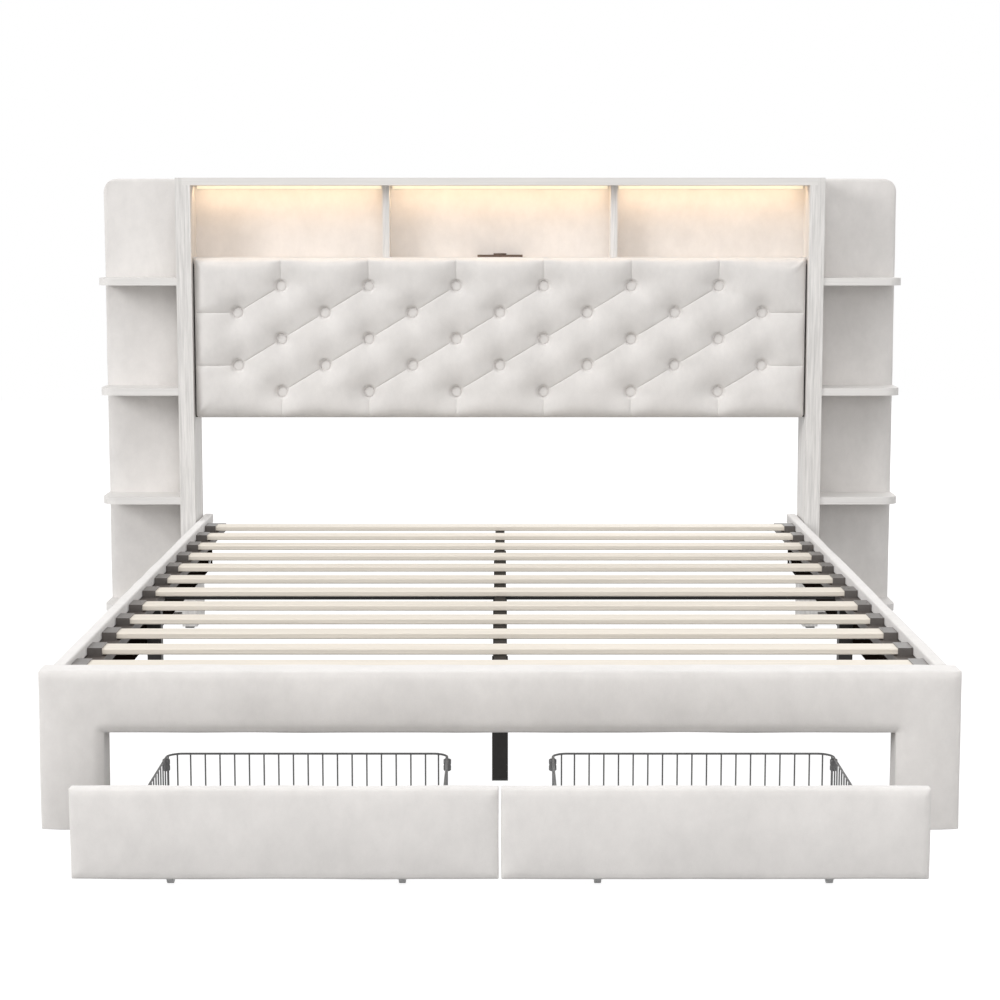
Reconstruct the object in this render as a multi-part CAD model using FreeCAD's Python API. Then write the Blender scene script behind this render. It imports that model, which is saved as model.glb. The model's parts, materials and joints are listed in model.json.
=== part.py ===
import FreeCAD, Part
import math
import os

# Upholstered storage bed, sizes in millimetres.
# While modelling, Y = 0 is the back of the footboard, +Y runs to the headboard, +X is the right side
# seen from the foot end and Z = 0 is the floor. Everything is moved along Y before it is saved, so that
# the origin is the bottom centre of the whole bed with its drawers pulled out.

# Sleeping area
mattress_width = 1600.0
mattress_length = 2000.0
room_beside_mattress = 10.0
room_behind_mattress = 5.0

# Side rails
rail_top_height = 298.0
rail_height = 150.0
rail_board = 16.0
rail_foam = 4.0
rail_top_foam = 8.0
rail_edge_radius = 7.0
rail_inner_radius = 3.0

# Footboard, an inverted U
footboard_overhang = 15.0
footboard_board = 46.0
footboard_foam = 10.0
footboard_edge_foam = 8.0
footboard_leg_width = 119.0
footboard_mouth_height = 181.0
footboard_corner_radius = 9.0
footboard_mouth_radius = 14.0
footboard_edge_radius = 8.0
cover_above_floor = 1.0

# Slats and what carries them
slat_width = 57.0
slat_thickness = 12.0
slat_edge_radius = 2.5
slat_below_rail_top = 12.0
front_slat_count = 5
rear_slat_count = 7
front_slat_margin = 79.0
front_slat_pitch = 166.0
slat_group_gap = 188.0
rear_slat_margin = 156.0
cap_wall = 2.0
cap_end_wall = 3.0
cap_length = 29.0
cap_clearance = 1.0
ledge_width = 42.0
ledge_height = 20.0
ledge_end_margin = 10.0

# Steel support
tube_wall = 1.5
beam_width = 25.0
beam_height = 25.0
beam_rear_margin = 127.0
cross_beam_width = 20.0
leg_width = 32.0
front_leg_place = 317.0
rear_leg_margin = 400.0
glide_height = 4.0
glide_stem = 12.0
glide_width = 24.0
bracket_plate = 3.0
bracket_arm = 40.0
bracket_height = 60.0
bracket_below_ledge = 7.0
bolt_radius = 3.0
bolt_clearance = 0.5
bolt_head_radius = 7.0
bolt_head_height = 4.0
screw_place = 24.0
screw_edge = 15.0
bolt_spacing = 44.0
bolt_above_rail_bottom = 26.0

# Headboard
headboard_height = 1234.0
headboard_depth = 162.0
post_gap = 4.0
post_board = 21.0
shelf_board = 20.0
floor_board = 18.0
divider_board = 19.0
divider_place = 311.0
back_board = 16.0
cubby_depth = 115.0
cubby_height = 194.0
spacer_margin = 16.0
spacer_edge = 10.0

# Tufted panel
tufted_board_thickness = 15.0
pad_height = 436.0
pad_side_gap = 10.0
pad_below_floor = 2.0
pad_setback = 13.0
pad_crest = 34.0
pad_button_valley = 13.0
pad_middle_valley = 24.0
pad_side_thickness = 18.0
pad_rim_thickness = 15.0
pad_rim_swell = 5.0
pad_shoulder_thickness = 23.0
pad_shoulder_swell = 10.0
pad_shoulder = 22.0
pad_side_swell = 12.0
pleat_side_margin = 60.0
pleat_side_share = 0.12
button_rows = 5
button_pitch = 239.0
button_row_step = 72.2
buttons_below_middle = 3.0
button_radius = 14.5
button_pocket_clearance = 0.5
button_seat = 9.0
button_edge = 2.5
button_dome = 4.5

# Light strips and charging point
led_width = 16.0
led_height = 8.0
led_margin = 6.0
charger_length = 124.0
charger_width = 46.0
charger_height = 6.0
charger_corner = 8.0
charger_setback = 85.0
socket_radius = 18.0
socket_height = 4.0
socket_rim = 4.0
socket_recess = 2.0
port_length = 12.0
port_width = 4.5
port_depth = 1.5
port_spacing = 9.0

# Shelf wings
wing_side_board = 20.0
wing_width = 217.0
wing_board_thickness = 15.0
wing_foam = 10.0
wing_edge_foam = 8.0
wing_corner_radius = 38.0
wing_edge_radius = 7.0
wing_shelf_count = 4
wing_shelf_spacing = 300.0
wing_shelf_first = 64.0
wing_shelf_setback = 5.0
wing_shelf_corner = 40.0

# Drawers
drawer_pulled_out = 372.0
drawer_side_gap = 6.0
drawer_middle_gap = 4.0
drawer_top_gap = 8.0
drawer_floor_gap = 16.0
drawer_board = 16.0
drawer_foam = 8.0
drawer_edge_foam = 4.0
drawer_corner_radius = 8.0
drawer_edge_radius = 6.5
basket_width = 532.0
basket_back = 480.0
basket_rim_height = 118.5
basket_base_height = 34.0
basket_corner_radius = 28.0
rim_wire_radius = 2.0
thin_wire_radius = 1.5
cross_wire_radius = 2.0
cross_wire_count = 3
wire_spacing = 28.5
corner_wire_count = 2
wire_gap = 0.1
clip_length = 30.0
clip_plate = 2.0
clip_rise = 26.0
clip_drop = 11.0
clip_play = 0.9
clip_place = 180.0

# Drawer wheels
wheel_radius = 12.5
wheel_width = 12.0
wheel_edge_radius = 1.5
wheel_place = 197.0
wheel_behind_front = 14.0
wheel_before_back = 14.0
axle_radius = 2.0
axle_clearance = 0.05
fork_plate = 2.0
fork_play = 0.5
fork_half_length = 13.5
fork_cheek_half = 6.0
fork_below_axle = 5.0

# Places that follow from the sizes above
rail_inner_x = mattress_width / 2 + room_beside_mattress
rail_core_x = rail_inner_x + rail_foam
rail_skin_x = rail_core_x + rail_board
rail_outer_x = rail_skin_x + rail_foam
rail_bottom = rail_top_height - rail_height
rail_core_top = rail_top_height - rail_top_foam
head_front_y = mattress_length + room_behind_mattress
head_back_y = head_front_y + headboard_depth
post_inner_x = rail_outer_x + post_gap
post_outer_x = post_inner_x + post_board
wing_inner_x = post_outer_x + wing_side_board
wing_outer_x = wing_inner_x + wing_width

slat_top = rail_top_height - slat_below_rail_top
slat_bottom = slat_top - slat_thickness
cap_bottom = slat_bottom - cap_wall
cap_outer_x = rail_inner_x - cap_clearance
ledge_bottom = cap_bottom - ledge_height
ledge_inner_x = rail_core_x - ledge_width
last_front_slat = front_slat_margin + (front_slat_count - 1) * front_slat_pitch
first_rear_slat = last_front_slat + slat_group_gap
last_rear_slat = head_back_y - rear_slat_margin
rear_slat_pitch = (last_rear_slat - first_rear_slat) / (rear_slat_count - 1)
beam_bottom = slat_bottom - beam_height
cross_beam_y = mattress_length / 2

footboard_thickness = footboard_board + 2 * footboard_foam
footboard_front_y = -footboard_thickness
footboard_half = rail_outer_x + footboard_overhang
footboard_mouth_half = footboard_half - footboard_leg_width

top_board_bottom = headboard_height - shelf_board
cubby_floor_top = top_board_bottom - cubby_height
cubby_floor_bottom = cubby_floor_top - floor_board
cubby_back_y = head_front_y + cubby_depth
pad_front_y = head_front_y + pad_setback
pad_back_y = pad_front_y + pad_crest
pad_top = cubby_floor_top - pad_below_floor
pad_bottom = pad_top - pad_height
pad_half = post_inner_x - pad_side_gap
pad_middle = (pad_top + pad_bottom) / 2

wing_pad_y = head_back_y - wing_board_thickness - wing_foam

drawer_face_y = footboard_front_y - drawer_pulled_out
drawer_core_y = drawer_face_y + drawer_foam
drawer_back_y = drawer_core_y + drawer_board
drawer_inner_x = drawer_middle_gap / 2
drawer_outer_x = footboard_mouth_half - drawer_side_gap
drawer_middle_x = (drawer_inner_x + drawer_outer_x) / 2
drawer_top = footboard_mouth_height - drawer_top_gap
basket_front_y = drawer_back_y + rim_wire_radius + wire_gap
basket_rear_y = drawer_face_y + basket_back - rim_wire_radius
fork_top = basket_base_height - rim_wire_radius - wire_gap
front_axle_y = drawer_back_y + wheel_behind_front
rear_axle_y = drawer_face_y + basket_back - wheel_before_back

origin_shift = FreeCAD.Vector(0, -(drawer_face_y + head_back_y) / 2, 0)

tolerance = 0.001
full_turn = 360.0
along_x = FreeCAD.Vector(1, 0, 0)
along_y = FreeCAD.Vector(0, 1, 0)
along_z = FreeCAD.Vector(0, 0, 1)


def box(x_low, x_high, y_low, y_high, z_low, z_high):
    corner = FreeCAD.Vector(x_low, y_low, z_low)
    return Part.makeBox(x_high - x_low, y_high - y_low, z_high - z_low, corner)


def rod(radius, start, end):
    direction = end - start
    return Part.makeCylinder(radius, direction.Length, start, direction)


def mirrored(shape):
    return shape.mirror(FreeCAD.Vector(0, 0, 0), along_x)


def on_xz(u, v):
    return FreeCAD.Vector(u, 0, v)


def on_xy(u, v):
    return FreeCAD.Vector(u, v, 0)


def on_yz(u, v):
    return FreeCAD.Vector(0, u, v)


# A closed outline through corners given as (u, v, radius); a radius of 0 leaves the corner sharp.
def outline(corners, plane):
    entries = []
    exits = []
    middles = []
    for index, (u, v, radius) in enumerate(corners):
        corner = plane(u, v)
        before = corners[index - 1]
        after = corners[(index + 1) % len(corners)]
        to_before = (plane(before[0], before[1]) - corner).normalize()
        to_after = (plane(after[0], after[1]) - corner).normalize()
        half_angle = to_before.getAngle(to_after) / 2
        reach = radius / math.tan(half_angle)
        entries.append(corner + to_before * reach)
        exits.append(corner + to_after * reach)
        bisector = (to_before + to_after).normalize()
        middles.append(corner + bisector * (radius / math.sin(half_angle) - radius))
    edges = []
    for index, (u, v, radius) in enumerate(corners):
        if radius > 0:
            edges.append(Part.Arc(entries[index], middles[index], exits[index]).toShape())
        following = entries[(index + 1) % len(corners)]
        edges.append(Part.LineSegment(exits[index], following).toShape())
    return Part.Wire(edges)


def plate(corners, plane, start, length):
    direction = {on_xz: along_y, on_xy: along_z, on_yz: along_x}[plane]
    face = Part.Face(outline(corners, plane))
    face.translate(direction * start)
    return face.extrude(direction * length)


# The edges of a shape that lie wholly at one depth y and rise above a height.
def edges_at_depth(shape, y, height):
    found = []
    for edge in shape.Edges:
        limits = edge.BoundBox
        flat = abs(limits.YMin - y) < tolerance and abs(limits.YMax - y) < tolerance
        if flat and limits.ZMax > height + tolerance:
            found.append(edge)
    return found


def save(name, *solids):
    shape = Part.makeCompound(list(solids)) if len(solids) > 1 else solids[0].copy()
    shape.translate(origin_shift)
    shape.exportStep("parts/" + name + ".step")


def save_pair(name, right_shape):
    save("left_" + name, mirrored(right_shape))
    save("right_" + name, right_shape)


def square_tube(x_low, x_high, y_low, y_high, z_low, z_high, axis):
    outside = box(x_low, x_high, y_low, y_high, z_low, z_high)
    inset = {"x": (0, tube_wall, tube_wall), "y": (tube_wall, 0, tube_wall), "z": (tube_wall, tube_wall, 0)}
    x_in, y_in, z_in = inset[axis]
    inside = box(x_low + x_in, x_high - x_in, y_low + y_in, y_high - y_in, z_low + z_in, z_high - z_in)
    return outside.cut(inside)


# Frame bolts run along X through the rail, the spacer and the post.
def frame_bolt_heights():
    lower = rail_bottom + bolt_above_rail_bottom
    return [lower, lower + bolt_spacing]


def frame_bolt_y():
    return (head_front_y + head_back_y) / 2


def drill_for_bolts(shape):
    for height in frame_bolt_heights():
        start = FreeCAD.Vector(rail_inner_x, frame_bolt_y(), height)
        end = FreeCAD.Vector(wing_inner_x, frame_bolt_y(), height)
        shape = shape.cut(rod(bolt_radius + bolt_clearance, start, end))
    return shape


# Headboard boards
def make_posts():
    post = box(post_inner_x, post_outer_x, head_front_y, head_back_y, glide_height, top_board_bottom)
    save_pair("post", drill_for_bolts(post))
    spacer = box(rail_outer_x, post_inner_x, head_front_y + spacer_margin, head_back_y - spacer_margin,
                 rail_bottom + spacer_edge, rail_core_top - spacer_edge)
    spacer = drill_for_bolts(spacer)
    save("rail_spacers", mirrored(spacer), spacer)


def make_cubbies():
    save("top_board", box(-post_outer_x, post_outer_x, head_front_y, head_back_y,
                          top_board_bottom, headboard_height))
    save("cubby_floor", box(-post_inner_x, post_inner_x, pad_back_y, cubby_back_y,
                            cubby_floor_bottom, cubby_floor_top))
    save("cubby_back", box(-post_inner_x, post_inner_x, cubby_back_y, cubby_back_y + back_board,
                           cubby_floor_bottom, top_board_bottom))
    divider = box(divider_place - divider_board / 2, divider_place + divider_board / 2,
                  pad_back_y, cubby_back_y, cubby_floor_top, top_board_bottom)
    save("cubby_dividers", mirrored(divider), divider)


def make_lights():
    divider_outer = divider_place + divider_board / 2
    divider_inner = divider_place - divider_board / 2
    low = top_board_bottom - led_height
    front = cubby_back_y - led_width
    side = box(divider_outer + led_margin, post_inner_x - led_margin, front, cubby_back_y,
               low, top_board_bottom)
    middle = box(-divider_inner + led_margin, divider_inner - led_margin, front, cubby_back_y,
                 low, top_board_bottom)
    save("led_strips", mirrored(side), middle, side)


def make_charger():
    half_length = charger_length / 2
    middle_y = head_front_y + charger_setback
    low_y = middle_y - charger_width / 2
    high_y = middle_y + charger_width / 2
    corners = [(-half_length, low_y, charger_corner), (half_length, low_y, charger_corner),
               (half_length, high_y, charger_corner), (-half_length, high_y, charger_corner)]
    save("charger_plate", plate(corners, on_xy, cubby_floor_top, charger_height))
    base = FreeCAD.Vector(0, middle_y, cubby_floor_top + charger_height)
    top = base + along_z * socket_height
    socket = rod(socket_radius, base, top)
    recess_floor = top - along_z * socket_recess
    socket = socket.cut(rod(socket_radius - socket_rim, recess_floor, top))
    for side in (-1, 1):
        port_x = side * port_spacing / 2
        port = box(port_x - port_width / 2, port_x + port_width / 2,
                   middle_y - port_length / 2, middle_y + port_length / 2,
                   recess_floor.z - port_depth, recess_floor.z)
        socket = socket.cut(port)
    save("charger_socket", socket)


# Tufted panel. Each row of buttons is shifted by half a pitch, and a pleat runs from each button up and
# to the right to a button of the row above. The pad is lofted through level sections whose front line is
# a chain of arcs between those pleats.
def row_height(row):
    return pad_middle - buttons_below_middle + (row - (button_rows - 1) / 2) * button_row_step


# Pleat places at a height counted in rows from the lowest. Short rows have a button on each side of the
# middle and long rows one in the middle, so a pleat moves by half a pitch from row to row. Each pleat
# that is on the pad at some row is followed over all of them, and those past the sides are counted.
def pleat_places(row):
    limit = (pad_half - pleat_side_margin) / button_pitch
    first = math.ceil(-limit - 0.5 - (button_rows - 1) / 2)
    last = math.floor(limit - 0.5)
    places = [(chain + 0.5 + row / 2) * button_pitch for chain in range(first, last + 1)]
    inside = [place for place in places if abs(place) < limit * button_pitch]
    left_out = len([place for place in places if place <= -limit * button_pitch])
    right_out = len(places) - len(inside) - left_out
    return inside, left_out, right_out


# One arc from start to end that swells towards the front, cut into pieces at fractions of its length.
def swelled_arc(start, end, swell, fractions):
    middle = (start + end) * 0.5 - along_y * swell
    circle = Part.Arc(start, middle, end)
    first = circle.FirstParameter
    span = circle.LastParameter - first
    stops = [0.0] + list(fractions) + [1.0]
    edges = []
    for low, high in zip(stops[:-1], stops[1:]):
        points = [circle.value(first + span * share) for share in (low, (low + high) / 2, high)]
        edges.append(Part.Arc(points[0], points[1], points[2]).toShape())
    return edges


def pad_section(height, row, valley, swell, side_swell):
    inside, left_out, right_out = pleat_places(row)
    left_cuts = [pleat_side_share * (index + 1) for index in range(left_out)]
    right_cuts = [1 - pleat_side_share * (right_out - index) for index in range(right_out)]
    left_side = FreeCAD.Vector(-pad_half, pad_back_y - min(pad_side_thickness, valley + swell), height)
    right_side = FreeCAD.Vector(pad_half, left_side.y, height)
    stops = [left_side]
    stops += [FreeCAD.Vector(place, pad_back_y - valley, height) for place in inside]
    stops += [right_side]
    edges = []
    for index, (start, end) in enumerate(zip(stops[:-1], stops[1:])):
        cuts = []
        rise = swell
        if index == 0:
            cuts = left_cuts
            rise = side_swell
        if index == len(stops) - 2:
            cuts = right_cuts
            rise = side_swell
        edges += swelled_arc(start, end, rise, cuts)
    back_right = FreeCAD.Vector(pad_half, pad_back_y, height)
    back_left = FreeCAD.Vector(-pad_half, pad_back_y, height)
    edges.append(Part.LineSegment(right_side, back_right).toShape())
    edges.append(Part.LineSegment(back_right, back_left).toShape())
    edges.append(Part.LineSegment(back_left, left_side).toShape())
    return Part.Wire(edges)


def pad_rim_section(height, row):
    return pad_section(height, row, pad_rim_thickness, pad_rim_swell, pad_rim_swell)


def pad_shoulder_section(height, row):
    return pad_section(height, row, pad_shoulder_thickness, pad_shoulder_swell, pad_rim_swell)


def make_tufted_panel():
    save("tufted_board", box(-post_inner_x, post_inner_x, pad_back_y, pad_back_y + tufted_board_thickness,
                             pad_bottom, cubby_floor_bottom))
    last_row = button_rows - 1
    sections = [pad_rim_section(pad_bottom, 0), pad_shoulder_section(pad_bottom + pad_shoulder, 0)]
    for row in range(button_rows):
        row_swell = pad_crest - pad_button_valley
        sections.append(pad_section(row_height(row), row, pad_button_valley, row_swell, pad_side_swell))
        if row < last_row:
            middle_swell = pad_crest - pad_middle_valley
            middle_height = (row_height(row) + row_height(row + 1)) / 2
            sections.append(pad_section(middle_height, row + 0.5, pad_middle_valley, middle_swell,
                                        pad_side_swell))
    sections += [pad_shoulder_section(pad_top - pad_shoulder, last_row), pad_rim_section(pad_top, last_row)]
    pad = Part.makeLoft(sections, True, True)
    seat_y = pad_back_y - button_seat
    buttons = []
    for row in range(button_rows):
        for place in pleat_places(row)[0]:
            seat = FreeCAD.Vector(place, seat_y, row_height(row))
            pad = pad.cut(rod(button_radius + button_pocket_clearance, seat, seat - along_y * pad_crest))
            buttons.append(covered_button(seat))
    save("tufted_pad", pad)
    save("tuft_buttons", *buttons)


# A flat disc with a round domed front, turned about the line that points out of the pad.
def covered_button(seat):
    dome_radius = (button_radius ** 2 + button_dome ** 2) / (2 * button_dome)
    dome_centre = dome_radius - button_edge - button_dome
    half_way = button_radius / 2
    centre = on_xy(0, 0)
    rim_back = on_xy(button_radius, 0)
    rim_front = on_xy(button_radius, -button_edge)
    shoulder = on_xy(half_way, dome_centre - math.sqrt(dome_radius ** 2 - half_way ** 2))
    crown = on_xy(0, -button_edge - button_dome)
    profile = Part.Wire([Part.LineSegment(centre, rim_back).toShape(),
                         Part.LineSegment(rim_back, rim_front).toShape(),
                         Part.Arc(rim_front, shoulder, crown).toShape(),
                         Part.LineSegment(crown, centre).toShape()])
    button = Part.Face(profile).revolve(centre, along_y, full_turn)
    button.translate(seat)
    return button


# Shelf wings
def make_wings():
    side = box(post_outer_x, wing_inner_x, head_front_y, head_back_y, glide_height, headboard_height)
    save_pair("wing_side", side)
    board_outer = wing_outer_x - wing_edge_foam
    board_top = headboard_height - wing_edge_foam
    board_corner = wing_corner_radius - wing_edge_foam
    board_y = head_back_y - wing_board_thickness
    board_corners = [(wing_inner_x, glide_height, 0), (board_outer, glide_height, 0),
                     (board_outer, board_top, board_corner), (wing_inner_x, board_top, 0)]
    board = plate(board_corners, on_xz, board_y, wing_board_thickness)
    save("wing_boards", mirrored(board), board)
    pad_corners = [(wing_inner_x, cover_above_floor, 0), (wing_outer_x, cover_above_floor, 0),
                   (wing_outer_x, headboard_height, wing_corner_radius), (wing_inner_x, headboard_height, 0)]
    pad = plate(pad_corners, on_xz, wing_pad_y, head_back_y - wing_pad_y)
    soft_edges = []
    for edge in edges_at_depth(pad, wing_pad_y, cover_above_floor):
        if edge.BoundBox.XMax > wing_inner_x + tolerance:
            soft_edges.append(edge)
    pad = pad.makeFillet(wing_edge_radius, soft_edges)
    under_board = box(wing_inner_x, board_outer, board_y, head_back_y, 0, glide_height)
    save_pair("wing_pad", pad.cut(board).cut(under_board))
    shelf_front = head_front_y + wing_shelf_setback
    shelf_corners = [(wing_inner_x, shelf_front, 0), (wing_outer_x, shelf_front, wing_shelf_corner),
                     (wing_outer_x, wing_pad_y, 0), (wing_inner_x, wing_pad_y, 0)]
    shelves = []
    for index in range(wing_shelf_count):
        top = wing_shelf_first + index * wing_shelf_spacing
        shelves.append(plate(shelf_corners, on_xy, top - shelf_board, shelf_board))
    save("left_wing_shelves", *[mirrored(shelf) for shelf in shelves])
    save("right_wing_shelves", *shelves)


# Footboard
def make_footboard():
    board_front = footboard_front_y + footboard_foam
    board_back = -footboard_foam
    board_half = footboard_half - footboard_edge_foam
    leg_inner = footboard_mouth_half + footboard_edge_foam
    rail_low = footboard_mouth_height + footboard_edge_foam
    top_board = box(-board_half, board_half, board_front, board_back,
                    rail_low, rail_top_height - footboard_edge_foam)
    leg = box(leg_inner, board_half, board_front, board_back, glide_height, rail_low)
    save("footboard_core", mirrored(leg), top_board, leg)
    mouth = footboard_mouth_half
    corners = [(-footboard_half, cover_above_floor, 0), (-mouth, cover_above_floor, 0),
               (-mouth, footboard_mouth_height, footboard_mouth_radius),
               (mouth, footboard_mouth_height, footboard_mouth_radius),
               (mouth, cover_above_floor, 0), (footboard_half, cover_above_floor, 0),
               (footboard_half, rail_top_height, footboard_corner_radius),
               (-footboard_half, rail_top_height, footboard_corner_radius)]
    cover = plate(corners, on_xz, footboard_front_y, footboard_thickness)
    soft_edges = edges_at_depth(cover, footboard_front_y, cover_above_floor)
    soft_edges += edges_at_depth(cover, 0, cover_above_floor)
    cover = cover.makeFillet(footboard_edge_radius, soft_edges)
    hollow = box(leg_inner, board_half, board_front, board_back, 0, rail_low)
    save("footboard_cover", cover.cut(top_board).cut(hollow).cut(mirrored(hollow)))


# Side rails and ledges
def make_rails():
    core = box(rail_core_x, rail_skin_x, 0, head_back_y, rail_bottom, rail_core_top)
    save_pair("rail_core", drill_for_bolts(core))
    flap_bottom = cap_bottom + cap_wall
    corners = [(rail_skin_x, rail_bottom, 0), (rail_outer_x, rail_bottom, 0),
               (rail_outer_x, rail_top_height, rail_edge_radius),
               (rail_inner_x, rail_top_height, rail_inner_radius),
               (rail_inner_x, flap_bottom, 0), (rail_core_x, flap_bottom, 0),
               (rail_core_x, rail_core_top, 0), (rail_skin_x, rail_core_top, 0)]
    cover = plate(corners, on_xz, 0, head_back_y)
    save_pair("rail_cover", drill_for_bolts(cover))
    ledge = square_tube(ledge_inner_x, rail_core_x, ledge_end_margin, head_back_y - ledge_end_margin,
                        ledge_bottom, cap_bottom, "y")
    save("slat_ledges", mirrored(ledge), ledge)


# Slats
def slat_places():
    front = [front_slat_margin + index * front_slat_pitch for index in range(front_slat_count)]
    rear = [first_rear_slat + index * rear_slat_pitch for index in range(rear_slat_count)]
    return front + rear


def make_slats():
    slat_end = cap_outer_x - cap_end_wall
    caps = []
    for index, place in enumerate(slat_places()):
        low_y = place - slat_width / 2
        high_y = place + slat_width / 2
        blank = box(-slat_end, slat_end, low_y, high_y, slat_bottom, slat_top)
        long_edges = [edge for edge in blank.Edges if edge.BoundBox.XLength > slat_end]
        save("slat_%02d" % (index + 1), blank.makeFillet(slat_edge_radius, long_edges))
        cap = box(cap_outer_x - cap_length, cap_outer_x, low_y - cap_wall, high_y + cap_wall,
                  cap_bottom, slat_top + cap_wall)
        cap = cap.cut(blank)
        caps += [mirrored(cap), cap]
    save("slat_caps", *caps)


# Steel support
def leg_places():
    side_x = rail_core_x - leg_width / 2
    rear_place = head_back_y - rear_leg_margin
    return [(0, front_leg_place, beam_bottom), (0, cross_beam_y, beam_bottom), (0, rear_place, beam_bottom),
            (-side_x, cross_beam_y, ledge_bottom), (side_x, cross_beam_y, ledge_bottom)]


def make_support():
    half = beam_width / 2
    save("centre_beam", square_tube(-half, half, 0, head_back_y - beam_rear_margin,
                                    beam_bottom, slat_bottom, "y"))
    low_y = cross_beam_y - cross_beam_width / 2
    cross = square_tube(half, ledge_inner_x, low_y, low_y + cross_beam_width,
                        ledge_bottom, cap_bottom, "x")
    save("cross_beam", mirrored(cross), cross)
    legs = []
    for x, y, top in leg_places():
        legs.append(square_tube(x - leg_width / 2, x + leg_width / 2, y - leg_width / 2, y + leg_width / 2,
                                glide_height, top, "z"))
    save("support_legs", *legs)


# Glides stand between the floor and every leg, post and board that carries the bed.
def make_glides():
    half = glide_width / 2
    pads = []
    for x, y, top in leg_places():
        outside = leg_width / 2
        inside = outside - tube_wall
        foot = box(x - outside, x + outside, y - outside, y + outside, 0, glide_height)
        stem = box(x - inside, x + inside, y - inside, y + inside, glide_height, glide_height + glide_stem)
        pads.append(foot.fuse(stem))
    leg_x = footboard_half - footboard_leg_width / 2
    leg_y = footboard_front_y / 2
    post_x = post_outer_x
    wing_x = wing_outer_x - wing_edge_foam - half
    wing_y = head_back_y - wing_board_thickness / 2
    spots = [(leg_x, leg_y, half), (post_x, head_front_y + half, half), (post_x, head_back_y - half, half),
             (wing_x, wing_y, wing_board_thickness / 2)]
    for x, y, half_y in spots:
        spot = box(x - half, x + half, y - half_y, y + half_y, 0, glide_height)
        pads += [mirrored(spot), spot]
    save("floor_glides", *pads)


# Corner brackets tie each rail to the footboard, and each arm has two screws.
def make_fixings():
    top = ledge_bottom - bracket_below_ledge
    low = top - bracket_height
    rail_arm = box(rail_core_x - bracket_plate, rail_core_x, 0, bracket_arm, low, top)
    foot_arm = box(rail_core_x - bracket_arm, rail_core_x, 0, bracket_plate, low, top)
    bracket = rail_arm.fuse(foot_arm)
    screw_heights = [low + screw_edge, top - screw_edge]
    hole_radius = bolt_radius + bolt_clearance
    bolts = []
    for height in screw_heights:
        rail_seat = FreeCAD.Vector(rail_core_x - bracket_plate, screw_place, height)
        foot_seat = FreeCAD.Vector(rail_core_x - screw_place, bracket_plate, height)
        bracket = bracket.cut(rod(hole_radius, rail_seat, rail_seat + along_x * bracket_plate))
        bracket = bracket.cut(rod(hole_radius, foot_seat, foot_seat - along_y * bracket_plate))
        bolts.append(bolt(rail_seat, along_x, bracket_plate))
        bolts.append(bolt(foot_seat, along_y * -1, bracket_plate))
    for height in frame_bolt_heights():
        seat = FreeCAD.Vector(rail_core_x, frame_bolt_y(), height)
        bolts.append(bolt(seat, along_x, post_outer_x - rail_core_x))
    save("corner_brackets", mirrored(bracket), bracket)
    save("frame_bolts", *([mirrored(item) for item in bolts] + bolts))


# A bolt whose head sits on the seat and whose shank runs along the direction.
def bolt(seat, direction, length):
    head = rod(bolt_head_radius, seat - direction * bolt_head_height, seat)
    return head.fuse(rod(bolt_radius, seat, seat + direction * length))


# Drawers, made for the right side and mirrored
def make_drawer_front():
    low_z = drawer_floor_gap
    core = box(drawer_inner_x + drawer_edge_foam, drawer_outer_x - drawer_edge_foam, drawer_core_y,
               drawer_back_y, low_z + drawer_edge_foam, drawer_top - drawer_edge_foam)
    save_pair("drawer_core", core)
    corners = [(drawer_inner_x, low_z, drawer_corner_radius), (drawer_outer_x, low_z, drawer_corner_radius),
               (drawer_outer_x, drawer_top, drawer_corner_radius),
               (drawer_inner_x, drawer_top, drawer_corner_radius)]
    cover = plate(corners, on_xz, drawer_face_y, drawer_back_y - drawer_face_y)
    cover = cover.makeFillet(drawer_edge_radius, edges_at_depth(cover, drawer_face_y, 0))
    save_pair("drawer_cover", cover.cut(core))


# A straight stretch of basket wall: rim wire, base wire and the upright wires between them.
def basket_wall(start, end):
    direction = end - start
    rim_rise = along_z * (basket_rim_height - basket_base_height)
    wall = rod(rim_wire_radius, start, end).fuse(rod(rim_wire_radius, start + rim_rise, end + rim_rise))
    gaps = max(2, round(direction.Length / wire_spacing))
    uprights = []
    for index in range(gaps):
        foot = start + direction * ((index + 0.5) / gaps)
        uprights.append(rod(thin_wire_radius, foot, foot + rim_rise))
    return wall.multiFuse(uprights)


# A short bend of the rim and base wires with one upright in its middle.
def basket_bend(centre, first_angle, sweep):
    rim_rise = along_z * (basket_rim_height - basket_base_height)
    base = Part.makeTorus(basket_corner_radius, rim_wire_radius, FreeCAD.Vector(0, 0, 0), along_z,
                          0, full_turn, sweep)
    base.rotate(FreeCAD.Vector(0, 0, 0), along_z, first_angle)
    base.translate(centre)
    rim = base.copy()
    rim.translate(rim_rise)
    angle = math.radians(first_angle + sweep / 2)
    foot = centre + FreeCAD.Vector(math.cos(angle), math.sin(angle), 0) * basket_corner_radius
    return base.multiFuse([rim, rod(thin_wire_radius, foot, foot + rim_rise)])


def basket_base(left, right):
    height = basket_base_height + rim_wire_radius + cross_wire_radius + wire_gap
    count = round((right - left - 2 * basket_corner_radius) / wire_spacing)
    step = (right - left - 2 * basket_corner_radius) / count
    wires = []
    for index in range(count + 1):
        x = left + basket_corner_radius + index * step
        wires.append(rod(thin_wire_radius, FreeCAD.Vector(x, basket_front_y, height),
                         FreeCAD.Vector(x, basket_rear_y, height)))
    run = (basket_rear_y - basket_front_y) / (cross_wire_count + 1)
    crosses = []
    for index in range(cross_wire_count):
        y = basket_front_y + (index + 1) * run
        crosses.append(rod(cross_wire_radius, FreeCAD.Vector(left, y, height),
                           FreeCAD.Vector(right, y, height)))
    return crosses[0].multiFuse(crosses[1:] + wires)


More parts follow.
